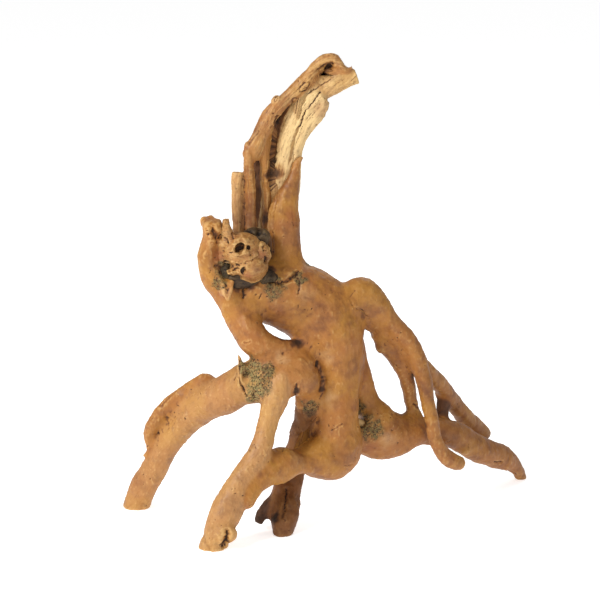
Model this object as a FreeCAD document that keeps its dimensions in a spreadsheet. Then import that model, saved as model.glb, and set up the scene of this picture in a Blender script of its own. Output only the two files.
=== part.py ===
"""Standing root carving: a rearing beast of natural roots, cut, coped and dowelled together.

Millimetres, with +Z up, +Y away from the beast's face and +X towards its thin hanging roots.
The carving stands on four trimmed root ends, and the origin is the bottom centre of its box.
Each root is a loft through ellipses that stand square to the root's route. A station of a route is
(x, y, z, swell, flat): swell is the root's breadth there as a share of its girth in the sheet, and
flat is its depth as a share of that breadth. A piece that meets an earlier one is coped to it.
Stations are laid out from a point on the floor beside the front foot, and the last step moves the
finished pieces onto the origin.
"""

import FreeCAD, Part
import os

from FreeCAD import Placement, Rotation, Vector

SIZES = {  # the driving dimensions, in millimetres
    "torso_girth": 44,
    "left_arm_girth": 27,
    "knee_girth": 42,
    "front_leg_girth": 24,
    "left_leg_girth": 27,
    "side_root_girth": 13,
    "back_leg_girth": 24,
    "spur_girth": 12,
    "right_arm_girth": 17,
    "inner_strand_girth": 18,
    "flank_girth": 18,
    "haunch_girth": 50,
    "right_root_girth": 26,
    "far_root_girth": 18,
    "peg_girth": 12,
    "mane_back_girth": 44,
    "mane_wall_girth": 30,
    "mane_plate_girth": 32,
    "mane_tip_girth": 18,
    "mane_crest_girth": 14,
    "mane_rib_girth": 9,
    "mane_rod_girth": 10,
    "horn_girth": 9,
    "skull_breadth": 36,
    "jaw_breadth": 33,
    "socket_bore": 9,
    "pore_bore": 5,
    "nape_breadth": 46,
    "thick_dowel": 8,
    "thin_dowel": 5,
    "foot_trim": 2.5,
    "floor_length": 700,
    "floor_width": 500,
    "floor_depth": 40,
}

DEPTH = Vector(0, 1, 0)  # the direction in which the carving is thinnest
doc = FreeCAD.newDocument("root_carving")
subparts = []


def make_sheet():
    """Puts every driving dimension in a cell of the sheet, under its own alias."""
    sheet = doc.addObject("Spreadsheet::Sheet", "Sizes")
    for row, (alias, value) in enumerate(SIZES.items(), start=1):
        sheet.set(f"A{row}", alias)
        sheet.set(f"B{row}", str(value))
        sheet.setAlias(f"B{row}", alias)
    doc.recompute()


def limb(name, girth, stations):
    """A root: a smooth closed loft through one ellipse at each station of its route."""
    points = [Vector(*station[:3]) for station in stations]
    rings = []
    for i, (swell, flat) in enumerate(station[3:] for station in stations):
        along = points[min(i + 1, len(points) - 1)] - points[max(i - 1, 0)]
        across = along.cross(DEPTH)
        ring = doc.addObject("Part::Ellipse", f"{name}_ring_{i}")
        ring.setExpression("MajorRadius", f"Sizes.{girth} / 2 * {swell}")
        ring.setExpression("MinorRadius", f"Sizes.{girth} / 2 * {swell} * {flat}")
        ring.Placement = Placement(points[i], Rotation(across, Vector(), along, "ZXY"))
        rings.append(ring)
    root = doc.addObject("Part::Loft", f"{name}_blank")
    root.Sections = rings
    root.Solid = True
    return root


def egg(name, breadth, centre, shares, lean=0):
    """An ellipsoid whose half axes along X, Y and Z are shares of a breadth, leaning about Y."""
    shape = doc.addObject("Part::Ellipsoid", name)
    shape.setExpression("Radius2", f"Sizes.{breadth} / 2 * {shares[0]}")
    shape.setExpression("Radius3", f"Sizes.{breadth} / 2 * {shares[1]}")
    shape.setExpression("Radius1", f"Sizes.{breadth} / 2 * {shares[2]}")
    shape.Placement = Placement(Vector(*centre), Rotation(DEPTH, lean))
    return shape


def rod(name, bore, start, end):
    """A round rod, or the tool for its hole, from one point to another."""
    start, end = Vector(*start), Vector(*end)
    shape = doc.addObject("Part::Cylinder", name)
    shape.setExpression("Radius", f"Sizes.{bore} / 2")
    shape.Height = (end - start).Length
    shape.Placement = Placement(start, Rotation(Vector(0, 0, 1), end - start))
    return shape


def fused(name, *shapes):
    """Several overlapping shapes grown into one."""
    joined = doc.addObject("Part::MultiFuse", name)
    joined.Shapes = list(shapes)
    return joined


def coped(name, blank, *neighbours):
    """The blank cut back to every neighbour that it meets, one cut after another."""
    piece = blank
    for neighbour in neighbours:
        cut = doc.addObject("Part::Cut", f"{name}_less_{neighbour.Name}")
        cut.Base = piece
        cut.Tool = neighbour
        piece = cut
    return piece


def subpart(label, shape):
    """Registers a finished piece under the name of its file."""
    shape.Label = label
    subparts.append(shape)
    return shape


def make_dowels():
    """The hidden dowels, one at each glued joint that carries load."""
    thick = {
        "knee": ((-104, 80, 141), (-34, 61, 158)),
        "front": ((-52, 39, 138), (-41, 56, 164)),
        "back": ((-18, 66, 151), (-20, 78, 112)),
        "shoulder": ((-4, 90, 218), (46, 98, 226)),
        "haunch": ((14, 86, 112), (74, 120, 80)),
        "root": ((80, 126, 79), (122, 147, 74)),
        "mane": ((-34, 90, 224), (-38, 95, 278)),
        "head": ((-64, 84, 240), (-76, 60, 278)),
        "foot": ((-62, 27, 66), (-94, 9, 40)),
        "arm": ((-68, 82, 236), (-94, 72, 250)),
    }
    thin = {
        "strand": ((94, 138, 96), (97, 141, 74)),
        "far_root": ((94, 113, 160), (112, 138, 141)),
        "side_root": ((-124, 91, 122), (-118, 89, 138)),
        "spur": ((-40, 66, 28), (-58, 61, 23)),
        "peg": ((128, 160, 112), (126, 157, 78)),
        "snout": ((-86, 59, 276), (-113, 61, 272)),
    }
    thick = {key: rod(f"dowel_{key}", "thick_dowel", *ends) for key, ends in thick.items()}
    thin = {key: rod(f"dowel_{key}", "thin_dowel", *ends) for key, ends in thin.items()}
    return thick, thin


def make_blanks():
    """Every root as it was before coping, by name."""
    routes = {
        "torso": ("torso_girth", [
            (-78, 80, 241, 0.98, 0.91), (-56, 84, 240, 1.4, 0.82), (-26, 88, 231, 1.62, 0.76),
            (-2, 90, 212, 1.66, 0.76), (9, 90, 185, 1.36, 0.9), (13, 88, 156, 1.04, 0.98),
            (12, 86, 128, 0.99, 0.98), (13, 84, 104, 1.01, 0.98), (14, 82, 85, 1.12, 0.92),
            (6, 77, 73, 1.16, 0.86), (-12, 66, 72, 0.83, 0.97), (-35, 50, 73, 0.72, 1),
            (-56, 32, 70, 0.67, 1), (-73, 20, 59, 0.62, 1), (-85, 13, 47, 0.53, 1)]),
        "left_arm": ("left_arm_girth", [
            (-109, 54, 316, 0.64, 1), (-109, 55, 307, 0.68, 1), (-110, 58, 294, 0.78, 1),
            (-111, 61, 277, 0.93, 0.96), (-108, 65, 264, 1.0, 0.93), (-101, 70, 251, 1.12, 0.9),
            (-92, 71, 237, 1.17, 0.9), (-85, 68, 221, 1.14, 0.92), (-77, 62, 208, 1.12, 0.92),
            (-67, 58, 195, 1.15, 0.85), (-50, 60, 188, 0.85, 0.95), (-33, 66, 186, 0.58, 1),
            (-21, 76, 183, 0.46, 1)]),
        "knee_filler": ("knee_girth", [
            (-88, 70, 146, 0.9, 0.93), (-78, 66, 150, 1.0, 0.93), (-68, 62, 154, 1.06, 0.92),
            (-56, 60, 157, 1.03, 0.93)]),
        "knee_boss": ("knee_girth", [
            (-67, 61, 155, 0.95, 0.95), (-56, 60, 157, 1.02, 0.95), (-43, 60, 160, 1.0, 0.95),
            (-28, 63, 158, 0.98, 0.97), (-18, 69, 146, 0.7, 0.93), (-18, 75, 127, 0.55, 1)]),
        "front_leg": ("front_leg_girth", [
            (-40, 56, 164, 1.02, 1), (-46, 44, 148, 1.05, 1), (-52, 40, 131, 0.97, 1),
            (-57, 36, 114, 0.88, 1), (-64, 28, 92, 0.9, 1), (-76, 20, 74, 0.95, 1),
            (-87, 13, 56, 1.1, 1), (-95, 8, 39, 1.3, 0.91), (-103, 5, 21, 1.17, 0.97),
            (-108, 3, 4, 1.24, 0.9), (-111, 2, -8, 1.24, 0.9)]),
        "left_leg": ("left_leg_girth", [
            (-77, 66, 149, 1.38, 0.92), (-87, 70, 145, 1.42, 0.92), (-98, 76, 136, 1.45, 0.93),
            (-115, 86, 127, 1.42, 0.92), (-132, 96, 110, 1.2, 0.95), (-147, 104, 92, 1.03, 0.96),
            (-161, 112, 70, 1.0, 1), (-175, 118, 44, 1.02, 0.96), (-186, 122, 23, 1.05, 0.96),
            (-193, 124, 4, 1.0, 0.93), (-197, 124, -8, 0.97, 0.93)]),
        "side_root": ("side_root_girth", [
            (-110, 90, 140, 1.25, 1), (-125, 93, 144, 1.1, 1), (-139, 96, 135, 1.0, 1),
            (-154, 99, 122, 1.05, 1), (-166, 102, 107, 1.18, 0.93), (-175, 105, 93, 1.01, 1),
            (-178, 108, 78, 0.7, 1), (-183, 112, 61, 0.45, 1)]),
        "back_leg": ("back_leg_girth", [
            (-18, 74, 130, 0.7, 1), (-19, 78, 119, 0.87, 1), (-24, 84, 97, 0.86, 1),
            (-28, 86, 76, 0.94, 1), (-33, 80, 51, 1.08, 1), (-38, 64, 30, 1.24, 0.96),
            (-40, 50, 16, 1.2, 0.96), (-43, 40, 2, 0.85, 1), (-45, 34, -6, 0.6, 1)]),
        "back_spur": ("spur_girth", [
            (-44, 68, 34, 1.34, 1), (-57, 62, 23, 1.08, 1), (-63, 56, 16, 1.0, 1),
            (-66, 53, 9, 0.75, 1)]),
        "right_arm": ("right_arm_girth", [
            (8, 92, 226, 1.95, 0.9), (27, 94, 232, 1.92, 0.91), (44, 98, 231, 1.85, 0.9),
            (58, 102, 215, 1.33, 1), (71, 106, 198, 1.16, 1), (85, 110, 181, 1.12, 1),
            (95, 112, 161, 1.05, 1), (101, 112, 141, 0.97, 1), (105, 112, 120, 0.89, 1),
            (109, 112, 99, 0.86, 1), (113, 114, 80, 0.86, 1), (121, 118, 63, 0.92, 1),
            (132, 124, 52, 0.95, 1), (143, 130, 47, 0.67, 1)]),
        "inner_strand": ("inner_strand_girth", [
            (46, 104, 218, 1.0, 1), (51, 110, 200, 1.04, 0.95), (62, 116, 182, 1.18, 0.82),
            (74, 122, 163, 1.08, 0.9), (83, 128, 141, 0.92, 1), (88, 132, 120, 0.82, 1),
            (94, 137, 97, 0.8, 1), (98, 141, 80, 0.69, 1)]),
        "far_root": ("far_root_girth", [
            (91, 120, 163, 0.9, 1), (107, 136, 143, 0.95, 1), (122, 156, 122, 0.98, 1),
            (137, 176, 98, 1.05, 1), (152, 194, 76, 1.04, 1), (165, 210, 60, 1.1, 1),
            (175, 219, 51, 0.85, 1)]),
        "rear_peg": ("peg_girth", [
            (125, 162, 118, 1.05, 1), (124, 160, 98, 1.2, 0.92), (121, 156, 72, 1.1, 1)]),
        "flank": ("flank_girth", [
            (26, 98, 205, 0.7, 1), (32, 102, 182, 0.88, 1), (36, 106, 158, 1.02, 1),
            (40, 110, 133, 1.3, 1), (46, 112, 110, 1.6, 1)]),
        "haunch": ("haunch_girth", [
            (36, 111, 96, 1.3, 0.62), (54, 114, 87, 1.18, 0.69), (70, 121, 80, 0.98, 0.75),
            (85, 129, 80, 0.76, 0.91), (100, 138, 80, 0.62, 0.93)]),
        "right_root": ("right_root_girth", [
            (95, 137, 80, 1.02, 1), (111, 142, 78, 1.12, 0.96), (131, 150, 73, 1.15, 0.96),
            (150, 162, 60, 1.1, 1), (170, 178, 45, 1.12, 1), (188, 194, 34, 1.02, 0.96),
            (202, 206, 23, 0.76, 1), (211, 214, 11, 0.52, 1), (216, 218, -4, 0.38, 1)]),
        "mane_back": ("mane_back_girth", [
            (-62, 103, 250, 0.9, 0.3), (-62, 112, 282, 1.05, 0.27), (-59, 114, 314, 1.12, 0.26),
            (-55, 114, 344, 1.08, 0.26), (-50, 114, 368, 0.95, 0.28), (-43, 113, 390, 0.78, 0.32),
            (-33, 112, 410, 0.62, 0.36), (-20, 112, 424, 0.5, 0.4), (-8, 113, 438, 0.46, 0.4),
            (4, 114, 450, 0.36, 0.5), (14, 114, 457, 0.2, 0.8)]),
        "mane_wall": ("mane_wall_girth", [
            (-22, 90, 232, 1.9, 0.7), (-29, 92, 251, 1.5, 0.76), (-37, 95, 268, 1.08, 0.84),
            (-39, 96, 293, 1.04, 0.84), (-40, 97, 317, 1.0, 0.84), (-35, 98, 336, 0.68, 0.9),
            (-29, 99, 356, 0.35, 1), (-22, 101, 371, 0.16, 1)]),
        "mane_plate": ("mane_plate_girth", [
            (-53, 106, 270, 0.74, 0.42), (-52, 107, 288, 0.85, 0.42), (-47, 107, 311, 1.0, 0.38),
            (-42, 107, 336, 1.05, 0.38), (-37, 107, 358, 0.86, 0.43), (-33, 106, 380, 0.8, 0.41),
            (-24, 105, 403, 0.9, 0.35), (-12, 104, 420, 0.94, 0.34), (-2, 103, 430, 0.55, 0.44)]),
        "mane_tip": ("mane_tip_girth", [
            (-28, 110, 407, 0.8, 0.62), (-14, 110, 427, 1.2, 0.5), (2, 109, 438, 1.15, 0.55),
            (18, 109, 445, 0.95, 0.6), (31, 109, 449, 0.83, 0.62)]),
        "mane_crest": ("mane_crest_girth", [
            (-73, 98, 368, 0.95, 1), (-67, 99, 384, 1.05, 1), (-60, 100, 398, 1.12, 0.94),
            (-52, 100, 412, 1.11, 0.88), (-43, 100, 423, 0.98, 0.93), (-32, 101, 433, 0.95, 0.92),
            (-20, 103, 445, 0.97, 0.92), (-8, 105, 458, 0.97, 0.92), (3, 106, 465, 0.88, 0.92),
            (14, 107, 461, 0.78, 1), (26, 108, 457, 0.6, 1)]),
        "mane_rib": ("mane_rib_girth", [
            (-58, 100, 292, 1.1, 1), (-58, 101, 338, 0.98, 1), (-59, 102, 367, 0.98, 1),
            (-56, 103, 391, 0.87, 1)]),
        "mane_rod_long": ("mane_rod_girth", [
            (-73, 88, 262, 1.2, 1), (-73, 88, 290, 1.2, 1), (-73, 90, 325, 1.2, 1),
            (-74, 92, 354, 1.1, 1), (-75, 94, 379, 0.65, 1)]),
        "mane_rod_short": ("mane_rod_girth", [
            (-85, 84, 262, 1.1, 1), (-85, 86, 291, 1.1, 1), (-86, 88, 325, 1.08, 1),
            (-85, 90, 357, 1.0, 1)]),
        "horn": ("horn_girth", [
            (-91, 57, 282, 1.5, 1), (-93, 54, 301, 1.3, 1), (-96, 52, 318, 0.85, 1)]),
    }
    return {name: limb(name, girth, stations) for name, (girth, stations) in routes.items()}


def make_skull():
    """The burl of the head: cranium, jaw, temple and horn in one, with sockets and pores."""
    burl = fused(
        "burl",
        egg("cranium", "skull_breadth", (-81, 58, 286), (1.06, 1.0, 0.98)),
        egg("jaw", "jaw_breadth", (-74, 58, 272), (1.1, 1.0, 0.98), lean=20),
        egg("temple", "jaw_breadth", (-67, 61, 281), (0.8, 0.8, 0.8)),
        blanks["horn"],
    )
    hollows = [
        egg("eye_socket", "socket_bore", (-82, 41, 291), (1.1, 1.6, 1.3), lean=20),
        egg("jaw_socket", "socket_bore", (-77, 42, 268), (1.0, 1.5, 1.0)),
        egg("cheek_socket", "socket_bore", (-57, 51, 288), (1.0, 1.2, 1.3), lean=-30),
        egg("gullet", "socket_bore", (-55, 52, 276), (1.1, 1.0, 0.9)),
        egg("lip_slot", "socket_bore", (-87, 44, 260), (1.5, 1.2, 0.6), lean=-20),
        egg("brow_pore", "pore_bore", (-74, 42, 292), (0.7, 1.6, 0.7)),
    ]
    return coped("burl", burl, *hollows)


def make_nape():
    """The lump of sawdust and glue that beds the head against the chest and the mane."""
    return egg("bedding", "nape_breadth", (-60, 76, 262), (0.95, 0.7, 0.6))


def make_floor():
    """A block that trims the feet flat, a little above the ends that their routes were given."""
    block = doc.addObject("Part::Box", "below_floor")
    block.setExpression("Length", "Sizes.floor_length")
    block.setExpression("Width", "Sizes.floor_width")
    block.setExpression("Height", "Sizes.floor_depth + Sizes.foot_trim")
    block.Placement.Base = Vector(-SIZES["floor_length"] / 2, -150, -SIZES["floor_depth"])
    return block


def assemble():
    """Copes each piece to the ones before it, bores it for its dowels and names it."""

    def piece(name, *neighbours, dowels=()):
        tools = [blanks[neighbour] for neighbour in neighbours]
        bores = [thick.get(key) or thin[key] for key in dowels]
        subpart(name, coped(name, blanks[name], *tools, *bores))

    piece("torso", dowels=("shoulder", "haunch", "mane", "head", "foot", "arm"))
    piece("knee_boss", "torso", dowels=("knee", "front", "back"))
    piece("knee_filler", "torso", "knee_boss", dowels=("knee",))
    piece("left_arm", "torso", "knee_boss", "knee_filler", dowels=("arm", "snout"))
    piece("left_leg", "knee_filler", "below_floor", dowels=("knee", "side_root"))
    piece("side_root", "left_leg", dowels=("side_root",))
    piece("front_leg", "torso", "knee_boss", "below_floor", dowels=("front", "foot"))
    piece("back_leg", "torso", "knee_boss", "below_floor", dowels=("back", "spur"))
    piece("back_spur", "back_leg", dowels=("spur",))
    piece("right_arm", "torso", dowels=("shoulder", "far_root"))
    piece("flank", "torso", "right_arm")
    piece("haunch", "torso", "flank", dowels=("haunch", "root"))
    piece("right_root", "haunch", "right_arm", "below_floor", dowels=("root", "strand", "peg"))
    piece("inner_strand", "right_arm", "haunch", "right_root", dowels=("strand",))
    piece("far_root", "right_arm", "inner_strand", "right_root", dowels=("far_root", "peg"))
    piece("rear_peg", "far_root", "right_root", dowels=("peg",))
    piece("mane_wall", "torso", dowels=("mane",))
    piece("mane_back", "torso", "mane_wall")
    piece("mane_plate", "mane_wall", "mane_back")
    piece("mane_tip", "mane_back", "mane_plate")
    piece("mane_crest", "mane_back", "mane_plate", "mane_tip")
    piece("mane_rib", "mane_back", "mane_plate", "mane_crest")
    piece("mane_rod_long", "torso", "mane_back", "mane_crest")
    piece("mane_rod_short", "torso", "mane_back", "mane_rod_long")
    piece("skull", "left_arm", dowels=("head", "snout"))
    piece("nape", "mane_wall", "mane_rod_long", "mane_rod_short", "torso", "skull",
          dowels=("head",))
    for name, dowels in (("thick_dowels", thick), ("thin_dowels", thin)):
        group = doc.addObject("Part::Compound", f"{name}_group")
        group.Links = list(dowels.values())
        subpart(name, group)


def check():
    """Stops if anything failed to build, or if a piece came out empty, broken or in fragments."""
    for item in doc.Objects:
        if "Invalid" in item.State or "Error" in item.State:
            raise RuntimeError(f"{item.Name} failed to build: {item.State}")
    for item in subparts:
        if item.Shape.isNull() or not item.Shape.isValid():
            raise RuntimeError(f"{item.Label} has no valid shape")
        if len(item.Shape.Solids) != 1 and "dowels" not in item.Label:
            raise RuntimeError(f"{item.Label} is in {len(item.Shape.Solids)} fragments")


def centre_on_origin():
    """Moves every piece together, so that the origin is the bottom centre of the whole."""
    box = FreeCAD.BoundBox()
    for item in subparts:
        box.add(item.Shape.optimalBoundingBox())
    for item in subparts:
        item.Placement = Placement(-Vector(box.Center.x, box.Center.y, box.ZMin), Rotation())


def export():
    """Writes one file for each piece, named after it."""
    os.makedirs("parts", exist_ok=True)
    for item in subparts:
        item.Shape.exportStep(f"parts/{item.Label}.step")


make_sheet()
thick, thin = make_dowels()
blanks = make_blanks()
blanks["skull"] = make_skull()
blanks["nape"] = make_nape()
blanks["below_floor"] = make_floor()
assemble()
doc.recompute()
check()
centre_on_origin()
doc.recompute()
check()
export()
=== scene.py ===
"""Looks of the standing root carving: its roots run into each other under grain, moss, knots and wax."""

import heapq
import itertools
import math

import bmesh
import bpy
import numpy as np
from mathutils import Matrix, Vector
from mathutils.bvhtree import BVHTree


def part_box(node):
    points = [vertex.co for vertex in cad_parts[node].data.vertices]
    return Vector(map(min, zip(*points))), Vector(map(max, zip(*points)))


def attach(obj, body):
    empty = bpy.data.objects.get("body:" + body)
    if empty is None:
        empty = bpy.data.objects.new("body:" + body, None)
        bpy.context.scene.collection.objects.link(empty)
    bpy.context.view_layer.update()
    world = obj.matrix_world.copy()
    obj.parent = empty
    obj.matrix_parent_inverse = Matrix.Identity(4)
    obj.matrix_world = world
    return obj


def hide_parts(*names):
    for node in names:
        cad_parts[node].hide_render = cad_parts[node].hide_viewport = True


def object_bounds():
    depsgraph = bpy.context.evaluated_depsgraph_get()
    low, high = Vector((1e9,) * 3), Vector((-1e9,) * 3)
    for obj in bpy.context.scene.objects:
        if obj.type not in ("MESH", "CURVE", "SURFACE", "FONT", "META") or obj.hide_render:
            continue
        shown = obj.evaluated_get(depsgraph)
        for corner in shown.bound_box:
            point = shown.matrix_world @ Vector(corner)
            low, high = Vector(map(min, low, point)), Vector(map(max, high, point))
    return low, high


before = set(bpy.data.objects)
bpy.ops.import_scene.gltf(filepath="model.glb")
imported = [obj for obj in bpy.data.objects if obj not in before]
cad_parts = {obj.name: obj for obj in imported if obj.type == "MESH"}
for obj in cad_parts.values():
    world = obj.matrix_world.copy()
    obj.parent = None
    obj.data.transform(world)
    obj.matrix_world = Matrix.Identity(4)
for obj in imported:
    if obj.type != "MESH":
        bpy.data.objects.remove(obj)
CAD_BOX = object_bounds()
BOXES = {node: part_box(node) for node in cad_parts}
MM = 0.001

# ---------------------------------------------------------------------------------------------
# What the roots are like. Lengths are in millimetres.
# ---------------------------------------------------------------------------------------------

RING_STEPS = 16  # straight runs in a ring
RING_BREADTH, RING_HEIGHT = 0.75, -0.8  # of the carved line of a ring
CAP_SINK = 4  # how far the closed end of a piece lies behind its cut
FILM_COARSENESS = 2.6  # mesh size of a joint's film against that of its bunch
FILM_ROUNDS = 110  # how long the film creeps outwards
FILM_REACH = 35  # how far from a root the film still knows it
OWNER_REACH = 14  # how far from a root the skin still knows it

PLAIN = {  # what a root is like unless its bunch says otherwise: heights of its relief, then its tones, of which dark and umber are painted shade and pale is paler wood with painted highlight
    "lumps": 1.1, "flutes": 0.55, "fibres": 0.2, "grit": 0.0, "rings": 0.0,
    "pale": 0.0, "dark": 0.0, "umber_shade": 0.0,
}
BUNCHES = {  # roots that are glued and filled into one another: mesh size, then what each one is like
    "body": (1.0, {
        "torso": ("root_wood", {"lumps": 1.5, "flutes": 0.7, "rings": 0.35, "umber_shade": 0.1}),
        "left_arm": ("root_wood", {"lumps": 1.6, "flutes": 0.6}),
        "knee_boss": ("root_wood", {"lumps": 1.1, "flutes": 0.2, "grit": 0.2, "pale": 0.1}),
        "knee_filler": ("joint_filler", {"lumps": 1.6, "flutes": 0.1, "pale": 0.2}),
        "left_leg": ("root_wood", {"lumps": 1.3, "grit": 0.35, "pale": 0.22}),
        "side_root": ("root_wood", {"grit": 0.3}),
        "front_leg": ("root_wood", {"lumps": 1.1, "grit": 0.35, "pale": 0.28}),
        "back_leg": ("dark_wood", {"lumps": 1.8, "grit": 0.4, "dark": 0.45}),
        "back_spur": ("dark_wood", {"grit": 0.6, "dark": 0.75}),
        "right_arm": ("root_wood", {"lumps": 0.9, "flutes": 0.3, "rings": 0.3, "umber_shade": 0.35}),
        "inner_strand": ("root_wood", {"lumps": 1.2, "grit": 0.35, "rings": 0.15, "umber_shade": 0.3}),
        "flank": ("root_wood", {"lumps": 0.8, "umber_shade": 0.35}),
        "haunch": ("root_wood", {"lumps": 1.4, "flutes": 0.3, "grit": 0.35, "umber_shade": 0.3}),
        "right_root": ("root_wood", {"lumps": 1.4, "rings": 0.2, "grit": 0.2, "umber_shade": 0.6}),
        "far_root": ("root_wood", {"lumps": 1.2, "dark": 0.1, "umber_shade": 0.5}),
        "rear_peg": ("root_wood", {"dark": 0.7}),
        "mane_wall": ("root_wood", {"lumps": 0.8, "flutes": 0.4, "umber_shade": 0.3}),
    }),
    "mane": (0.8, {
        "mane_back": ("dark_wood", {"lumps": 1.0, "flutes": 1.2, "fibres": 0.3, "dark": 0.6}),
        "mane_plate": ("pale_wood", {"lumps": 0.8, "flutes": 1.3, "fibres": 0.3, "pale": 0.5}),
        "mane_tip": ("pale_wood", {"lumps": 0.7, "flutes": 0.9, "fibres": 0.3, "pale": 0.25}),
        "mane_crest": ("root_wood", {"lumps": 1.5, "flutes": 0.6, "pale": 0.15, "umber_shade": 0.2}),
        "mane_rib": ("root_wood", {"dark": 0.25, "rings": 0.2}),
        "mane_rod_long": ("root_wood", {"lumps": 0.8, "rings": 0.25, "umber_shade": 0.3}),
        "mane_rod_short": ("root_wood", {"lumps": 0.8, "rings": 0.25, "pale": 0.3}),
    }),
    "head": (0.55, {"skull": ("pale_wood", {"lumps": 2.2, "flutes": 0.4, "grit": 0.2, "umber_shade": 0.2})}),
    "bedding": (0.8, {"nape": ("dark_filler", {"lumps": 3.4, "flutes": 1.2, "grit": 0.7, "dark": 0.45})}),
}
FILLETS = {  # how far two roots run into each other at their joint
    ("torso", "right_arm"): 26, ("torso", "mane_wall"): 34, ("torso", "left_arm"): 14,
    ("torso", "front_leg"): 18, ("torso", "flank"): 14, ("torso", "back_leg"): 5,
    ("knee_boss", "knee_filler"): 18, ("knee_boss", "front_leg"): 18, ("knee_boss", "back_leg"): 12,
    ("knee_boss", "left_arm"): 6, ("knee_filler", "left_arm"): 10, ("knee_filler", "left_leg"): 20,
    ("knee_filler", "front_leg"): 10, ("left_leg", "side_root"): 7, ("back_leg", "back_spur"): 8,
    ("right_arm", "far_root"): 10, ("right_arm", "inner_strand"): 9, ("right_arm", "right_root"): 3,
    ("right_arm", "flank"): 10, ("flank", "haunch"): 22, ("haunch", "right_root"): 14,
    ("haunch", "inner_strand"): 7, ("right_root", "inner_strand"): 6, ("right_root", "far_root"): 6,
    ("right_root", "rear_peg"): 7, ("far_root", "rear_peg"): 7,
    ("mane_back", "mane_crest"): 8, ("mane_back", "mane_rib"): 5, ("mane_crest", "mane_rod_long"): 9,
    ("mane_crest", "mane_tip"): 7, ("mane_plate", "mane_tip"): 8, ("mane_crest", "mane_plate"): 5,
    ("mane_crest", "mane_rib"): 5, ("mane_back", "mane_plate"): 3,
}


def within(node, fx, fy, fz):
    """A point of a CAD node's box, in millimetres, from shares of its three sides."""
    low, high = BOXES[node]
    return tuple((low[i] + share * (high[i] - low[i])) / MM for i, share in enumerate((fx, fy, fz)))


EGGS = {  # lumps that stand on a root: shares of its box, then three radii
    "left_arm": [
        ((0.25, 0.3, 0.52), (7, 6, 9)), ((0.27, 0.4, 0.4), (8, 6, 9)), ((0.19, 0.5, 0.93), (4, 6, 9)),
        ((0.21, 0.4, 0.9), (5, 6, 5)), ((0.06, 0.4, 0.975), (4, 5, 6)), ((0.12, 0.5, 0.985), (4, 6, 4)),
    ],
    "torso": [
        ((0.19, 0.56, 0.895), (9, 7, 7)), ((0.31, 0.62, 0.9), (11, 10, 9)),
        ((0.13, 0.58, 0.83), (10, 10, 9)), ((0.59, 0.66, 0.62), (13, 10, 11)),
    ],
    "knee_boss": [((0.62, 0.5, 0.8), (20, 17, 13))],
    "left_leg": [((0.66, 0.42, 0.8), (9, 8, 8))],
    "front_leg": [((0.31, 0.08, 0.1), (12, 7, 10))],
    "right_root": [((0.42, 0.25, 0.62), (9, 8, 8))],
    "inner_strand": [((0.09, 0.2, 0.86), (8, 6, 7)), ((0.32, 0.35, 0.66), (7, 6, 8))],
    "mane_crest": [((0.31, 0.25, 0.56), (5, 4, 7)), ((0.05, 0.3, 0.14), (4, 4, 5))],
    "skull": [
        ((0.06, 0.5, 0.52), (9, 8, 10)), ((0.0, 0.55, 0.38), (8, 8, 10)),
        ((0.62, 0.3, 0.24), (12, 9, 11)), ((0.08, 0.3, 0.93), (3, 3, 5)),
        ((0.22, 0.28, 0.17), (6, 6, 4)), ((0.83, 0.45, 0.47), (6, 8, 9)), ((0.2, 0.4, 0.66), (6, 7, 9)),
    ],
    "nape": [
        ((0.02, 0.1, 0.17), (17, 9, 10)), ((-0.38, 0.1, 0.5), (8, 8, 11)),
        ((0.62, 0.2, 0.2), (11, 8, 6)), ((0.3, 0.5, 2.05), (11, 5, 3)), ((0.52, 0.4, 1.8), (6, 6, 7)),
        ((0.28, 0.35, 1.3), (15, 9, 15)),
    ],
}
AFRESH = ("nape",)  # lumps whose CAD shape isn't used
SPLINTERS = {  # broken spikes on a root: two ends as shares of its box, then two radii
    "left_arm": [
        ((0.2, 0.2, 0.6), (0.27, 0.1, 0.44), 2.6, 1.0),
        ((0.32, 0.25, 0.58), (0.28, 0.1, 0.44), 3.0, 1.0),
        ((0.1, 0.3, 0.94), (0.07, 0.3, 1.0), 4.0, 2.2), ((0.18, 0.5, 0.94), (0.2, 0.5, 0.99), 4.0, 2.5),
    ],
    "knee_filler": [
        ((0.33, 0.25, 0.86), (0.27, 0.1, 1.15), 4.5, 0.8),
        ((0.3, 0.1, 0.5), (0.3, 0.0, 0.95), 3.0, 2.5),
    ],
    "rear_peg": [((0.2, 0.4, 0.95), (0.0, 0.4, 1.08), 2.2, 0.6)],
}
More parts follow.
